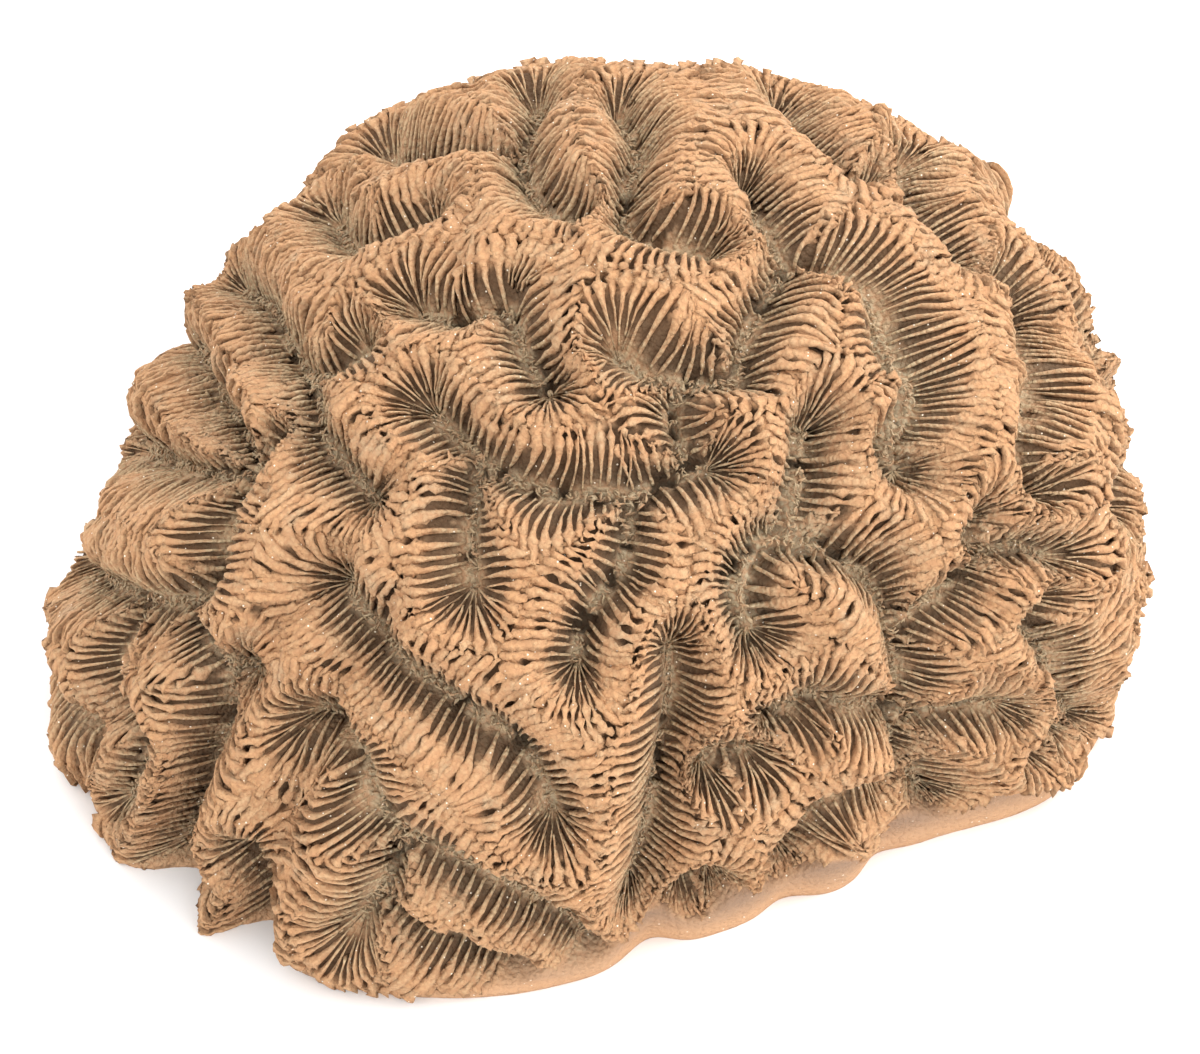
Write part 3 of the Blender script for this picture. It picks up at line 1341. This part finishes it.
@dataclass(frozen=True)
class NodeBench:
    """Adds nodes to one node tree, each with its settings and with what feeds it."""

    tree: bpy.types.NodeTree

    @classmethod
    def for_material(cls, name: str) -> tuple[bpy.types.Material, "NodeBench"]:
        """Adds a material.

        Args:
            name: Its name.

        Returns:
            The material and a bench for its nodes.
        """
        material = bpy.data.materials.new(name)
        material.use_nodes = True
        return material, cls(material.node_tree)

    def feed(self, node: bpy.types.Node, feeds: dict) -> None:
        """Fills a node's inputs.

        Args:
            node: The node.
            feeds: For each input, by name or number, its value or the output that feeds it.
        """
        for name, value in feeds.items():
            if isinstance(value, bpy.types.NodeSocket):
                self.tree.links.new(value, node.inputs[name])
            else:
                node.inputs[name].default_value = value

    def add(self, kind: str, feeds: dict, **settings: object) -> bpy.types.Node:
        """Adds a node.

        Args:
            kind: Its type, less the word ShaderNode.
            feeds: What fills its inputs.
            settings: Its other settings.

        Returns:
            The node.
        """
        node = self.tree.nodes.new("ShaderNode" + kind)
        for name, value in settings.items():
            setattr(node, name, value)
        self.feed(node, feeds)
        return node

    def math(self, operation: str, first: object, second: object) -> bpy.types.NodeSocket:
        """Result of an operation on two values or outputs."""
        return self.add("Math", {0: first, 1: second}, operation=operation).outputs[0]

    def place(self) -> bpy.types.NodeSocket:
        """Place on the piece, in its own coordinates."""
        return self.add("TexCoord", {}).outputs["Object"]

    def texture(self, kind: str, size: bpy.types.NodeSocket, feeds: dict) -> bpy.types.Node:
        """Texture over the piece.

        Args:
            kind: Noise or Voronoi.
            size: Output that gives the size of its features, in millimetres.
            feeds: What fills its other inputs.

        Returns:
            The texture's node.
        """
        scale = self.math("DIVIDE", 1.0 / MM, size)
        return self.add("Tex" + kind, {"Vector": self.place(), "Scale": scale, **feeds})

    def surface(self, feeds: dict) -> None:
        """Fills the inputs of the material's own shader."""
        self.feed(self.tree.nodes["Principled BSDF"], feeds)

    def ramp(self, value: bpy.types.NodeSocket, stops: list[tuple[float, Colour]]) -> bpy.types.NodeSocket:
        """Colours at given values.

        Args:
            value: The output that chooses the colour.
            stops: A value and a colour for each stop, lowest first.

        Returns:
            The colour output.
        """
        node = self.add("ValToRGB", {"Fac": value})
        elements = node.color_ramp.elements
        for element, (place, colour) in zip(elements, (stops[0], stops[-1])):
            element.position, element.color = place, colour
        for place, colour in stops[1:-1]:
            elements.new(place).color = colour
        return node.outputs["Color"]

    def bump(self, height: bpy.types.NodeSocket, strength: float, distance: float) -> bpy.types.NodeSocket:
        """Normal of a surface with bumps of the given height, strength and depth in metres."""
        feeds = {"Strength": strength, "Distance": distance, "Height": height}
        return self.add("Bump", feeds).outputs["Normal"]

    def over(self, base: object, colour: object, mask: bpy.types.NodeSocket) -> bpy.types.NodeSocket:
        """Colour output of a colour laid over a base by a mask."""
        return self.add("Mix", {"Factor": mask, "A": base, "B": colour}, data_type="RGBA").outputs["Result"]

    def wash(self, base: object, colour: Colour, mask: bpy.types.NodeSocket,
             span: tuple[float, float, float]) -> bpy.types.NodeSocket:
        """Lays a colour over a base as far as a mask goes.

        Args:
            base: The colour underneath.
            colour: The colour on top.
            mask: The output that says where.
            span: The mask's values where the wash begins and is full, and how much it then covers.

        Returns:
            The colour output.
        """
        begin, full, most = span
        share = self.add("MapRange", {"Value": mask, "From Min": begin, "From Max": full, "To Max": most})
        return self.over(base, colour, share.outputs["Result"])


class GroupMaker:
    """Builds the node groups that more than one finish uses."""

    @staticmethod
    def open_group(name: str, inputs: dict[str, float], outputs: list[str]) -> tuple:
        """Starts a shader node group.

        Args:
            name: The group's name.
            inputs: Name and default of each number that it takes.
            outputs: Name of each number that it puts out.

        Returns:
            A bench for the group, what its input node puts out, and its output node.
        """
        group = bpy.data.node_groups.new(name, "ShaderNodeTree")
        for label, value in inputs.items():
            socket = group.interface.new_socket(label, in_out="INPUT", socket_type="NodeSocketFloat")
            socket.default_value = value
        for label in outputs:
            group.interface.new_socket(label, in_out="OUTPUT", socket_type="NodeSocketFloat")
        return NodeBench(group), group.nodes.new("NodeGroupInput").outputs, group.nodes.new("NodeGroupOutput")

    @classmethod
    def grain(cls) -> bpy.types.NodeTree:
        """Chalky grain with blunt granules: a height for bump and colour, and a broad mottle for colour.

        Returns:
            The group.
        """
        sizes = {"Grain Size mm": 0.4, "Granule Size mm": 0.65, "Mottle Size mm": 5.0}
        bench, size, sink = cls.open_group("skeleton_grain", sizes, ["Height", "Mottle"])
        broken = {"Detail": 3.5, "Roughness": 0.6}
        fine = bench.texture("Noise", size["Grain Size mm"], broken).outputs["Fac"]
        mottle = bench.texture("Noise", size["Mottle Size mm"], broken).outputs["Fac"]
        off = bench.texture("Voronoi", size["Granule Size mm"], {}).outputs["Distance"]
        rounded = bench.add("MapRange", {"Value": off, "From Max": 0.75, "To Min": 0.72, "To Max": 0.28})
        height = bench.add("Mix", {"Factor": 0.65, "A": fine, "B": rounded.outputs["Result"]})
        bench.feed(sink, {"Height": height.outputs["Result"], "Mottle": mottle})
        return bench.tree

    @classmethod
    def specks(cls) -> bpy.types.NodeTree:
        """White grains of sand scattered over the skeleton: a mask.

        Returns:
            The group.
        """
        spread = {"Spacing mm": 0.8, "Share": 0.2, "Size": 0.13}
        bench, source, sink = cls.open_group("sand_specks", spread, ["Mask"])
        cells = bench.texture("Voronoi", source["Spacing mm"], {})
        near = bench.math("LESS_THAN", cells.outputs["Distance"], source["Size"])
        draw = bench.add("SeparateColor", {0: cells.outputs["Color"]}).outputs[0]
        chosen = bench.math("LESS_THAN", draw, source["Share"])
        bench.feed(sink, {"Mask": bench.math("MULTIPLY", near, chosen)})
        return bench.tree


def linear(red: int, green: int, blue: int) -> Colour:
    """Scene colour of an sRGB colour given as 0 to 255."""
    parts = [value / 255 for value in (red, green, blue)]
    return tuple([p / 12.92 if p <= 0.04045 else ((p + 0.055) / 1.055) ** 2.4 for p in parts] + [1.0])


@dataclass(frozen=True)
class SkeletonFinish:
    """Dry chalky skeleton, darker and greyer towards the valley floors and in the gaps."""

    crest: Colour = linear(196, 149, 107)
    wall: Colour = linear(192, 149, 110)
    slope: Colour = linear(184, 153, 119)
    floor: Colour = linear(182, 164, 134)
    shade: Colour = linear(62, 47, 34)
    pale: Colour = linear(199, 167, 130)
    brown: Colour = linear(176, 130, 94)
    dull: Colour = linear(184, 158, 126)
    thin_edge: Colour = linear(196, 174, 138)
    speck: Colour = linear(244, 232, 210)
    band_edge: Colour = linear(200, 157, 120)
    band: Colour = linear(152, 123, 100)
    # Heights on the wall of the colours of floor, slope, wall and crest
    rises: tuple[float, ...] = (0.02, 0.3, 0.65, 1.0)
    # Colour, mask, the mask's values where the wash begins and is full, and how much it then covers
    washes: tuple[tuple[str, str, tuple[float, float, float]], ...] = (
        ("pale", "Mottle", (0.48, 0.72, 0.5)),
        ("dull", "Mottle", (0.48, 0.32, 0.6)),
        ("pale", "tone", (0.6, 1.0, 0.35)),
        ("thin_edge", "thin", (0.3, 1.0, 0.8)),
        ("pale", "Height", (0.54, 0.68, 0.55)),
        ("brown", "Height", (0.5, 0.36, 0.6)),
        ("shade", "shade", (0.0, 1.0, 0.81)),
    )
    # Heights in metres between which the band goes from its edge's colour to its own, and its share
    band_rise: tuple[float, float, float] = (0.0015, 0.006, 1.0)
    roughness: tuple[float, float] = (0.8, 0.98)
    specular: float = 0.25
    bump: float = 0.9
    bump_height: float = 0.0012

    def make(self, name: str, grain: bpy.types.NodeTree, specks: bpy.types.NodeTree) -> bpy.types.Material:
        """Builds the material.

        Args:
            name: The material's name.
            grain: The grain group.
            specks: The speck group.

        Returns:
            The material.
        """
        material, bench = NodeBench.for_material(name)
        grains = bench.add("Group", {}, node_tree=grain).outputs
        masks = {label: grains[label] for label in ("Height", "Mottle")}
        for label in ("rise", "shade", "band", "thin", "tone"):
            masks[label] = bench.add("Attribute", {}, attribute_name=label).outputs["Fac"]
        tones = (self.floor, self.slope, self.wall, self.crest)
        base = bench.ramp(masks["rise"], list(zip(self.rises, tones)))
        for colour, mask, span in self.washes:
            base = bench.wash(base, getattr(self, colour), masks[mask], span)
        above = bench.add("SeparateXYZ", {0: bench.place()}).outputs["Z"]
        bare = bench.wash(self.band_edge, self.band, above, self.band_rise)
        base = bench.over(base, bare, masks["band"])
        base = bench.over(base, self.speck, bench.add("Group", {}, node_tree=specks).outputs["Mask"])
        least, most = self.roughness
        rough = bench.add("MapRange", {"Value": masks["Mottle"], "To Min": least, "To Max": most})
        bench.surface({
            "Base Color": base, "Specular IOR Level": self.specular,
            "Roughness": rough.outputs["Result"],
            "Normal": bench.bump(masks["Height"], self.bump, self.bump_height),
        })
        return material


@dataclass(frozen=True)
class CutFinish:
    """The flat cut underneath: pale porous limestone."""

    stone: Colour = linear(214, 192, 164)
    pore: Colour = linear(150, 124, 98)
    pores_per_metre: float = 700.0
    pore_edge: tuple[float, float] = (0.25, 0.5)
    roughness: float = 0.95
    bump: float = 0.5
    bump_height: float = 0.0003

    def make(self, grain: bpy.types.NodeTree) -> bpy.types.Material:
        """Builds the material.

        Args:
            grain: The grain group.

        Returns:
            The material.
        """
        material, bench = NodeBench.for_material("cut_stone")
        height = bench.add("Group", {}, node_tree=grain).outputs["Height"]
        cells = bench.add("TexVoronoi", {"Vector": bench.place(), "Scale": self.pores_per_metre})
        stops = list(zip(self.pore_edge, (self.pore, self.stone)))
        bench.surface({
            "Base Color": bench.ramp(cells.outputs["Distance"], stops),
            "Roughness": self.roughness, "Normal": bench.bump(height, self.bump, self.bump_height),
        })
        return material


@dataclass
class BrainCoral:
    """The whole colony: its body, the ribs on its walls and the threads in its valleys."""

    plan: RibPlan

    def build(self) -> None:
        """Builds and dresses every piece of the colony."""
        grain = GroupMaker.grain()
        skeleton = SkeletonFinish().make("coral_skeleton", grain, GroupMaker.specks())
        cut = CutFinish().make(grain)
        ribs = [RibPiece(self.plan, quarter) for quarter in Quarter]
        for part in (ColonyBody(self.plan), *ribs, Threads(self.plan.valleys)):
            piece = part.build()
            piece.data.materials.append(skeleton)
            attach(piece, "root")
            if isinstance(part, ColonyBody):
                piece.data.materials.append(cut)
                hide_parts("coral")
            LOG.info("%s: %d faces", piece.name, len(piece.data.polygons))


@dataclass(frozen=True)
class Lamp:
    """A square lamp that faces the colony, with its place and side in metres and its power in watts."""

    name: str
    place: tuple[float, float, float]
    size: float
    power: float
    aim: tuple[float, float, float] = (0.0, 0.0, 0.03)

    def add(self) -> None:
        """Adds the lamp to the scene."""
        data = bpy.data.lights.new(self.name, "AREA")
        data.size = self.size
        data.energy = self.power
        lamp = bpy.data.objects.new(self.name, data)
        bpy.context.scene.collection.objects.link(lamp)
        lamp.location = self.place
        aim = Vector(self.aim) - Vector(self.place)
        lamp.rotation_euler = aim.to_track_quat("-Z", "Y").to_euler()


@dataclass(frozen=True)
class Studio:
    """Plain pale floor and soft lights."""

    floor_size: float = 6.0
    floor_colour: Colour = (0.9, 0.9, 0.9, 1.0)
    floor_roughness: float = 0.9
    sky_colour: Colour = (1.0, 1.0, 1.0, 1.0)
    sky_strength: float = 1.72
    lamps: tuple[Lamp, ...] = (
        Lamp("key_light", (0.6, 0.1, 0.58), 0.45, 4.2),
        Lamp("fill_light", (0.45, -0.75, 0.45), 0.6, 2.0),
        Lamp("back_light", (-0.2, 0.7, 0.6), 0.6, 1.4),
    )

    def build(self) -> None:
        """Adds the floor, the lights and the surrounding brightness."""
        bpy.ops.object.select_all(action="DESELECT")
        bpy.ops.mesh.primitive_plane_add(size=self.floor_size, location=(0, 0, 0))
        floor = bpy.context.object
        floor.name = "floor"
        material, bench = NodeBench.for_material("floor_paper")
        bench.surface({"Base Color": self.floor_colour, "Roughness": self.floor_roughness})
        floor.data.materials.append(material)
        for lamp in self.lamps:
            lamp.add()
        world = bpy.data.worlds.new("studio")
        world.use_nodes = True
        sky = {"Color": self.sky_colour, "Strength": self.sky_strength}
        NodeBench(world.node_tree).feed(world.node_tree.nodes["Background"], sky)
        bpy.context.scene.world = world
        bpy.context.scene.view_settings.view_transform = "Standard"


def main() -> None:
    """Builds the scene in order: viewpoint, valleys, rib plan, colony, studio."""
    logging.basicConfig(level=logging.INFO, format="%(message)s")
    dome = Dome()
    view = PhotoView(dome)
    valleys = Valleys(dome, view)
    valleys.lay()
    LOG.info("valleys: %d lines, %d samples", len(valleys.lines), len(valleys.places))
    plan = RibPlan(valleys)
    plan.draw()
    LOG.info("ribs planned: %d", len(plan.feet))
    BrainCoral(plan).build()
    view.place_camera()
    Studio().build()
    bpy.context.view_layer.update()


if __name__ == "__main__":
    main()
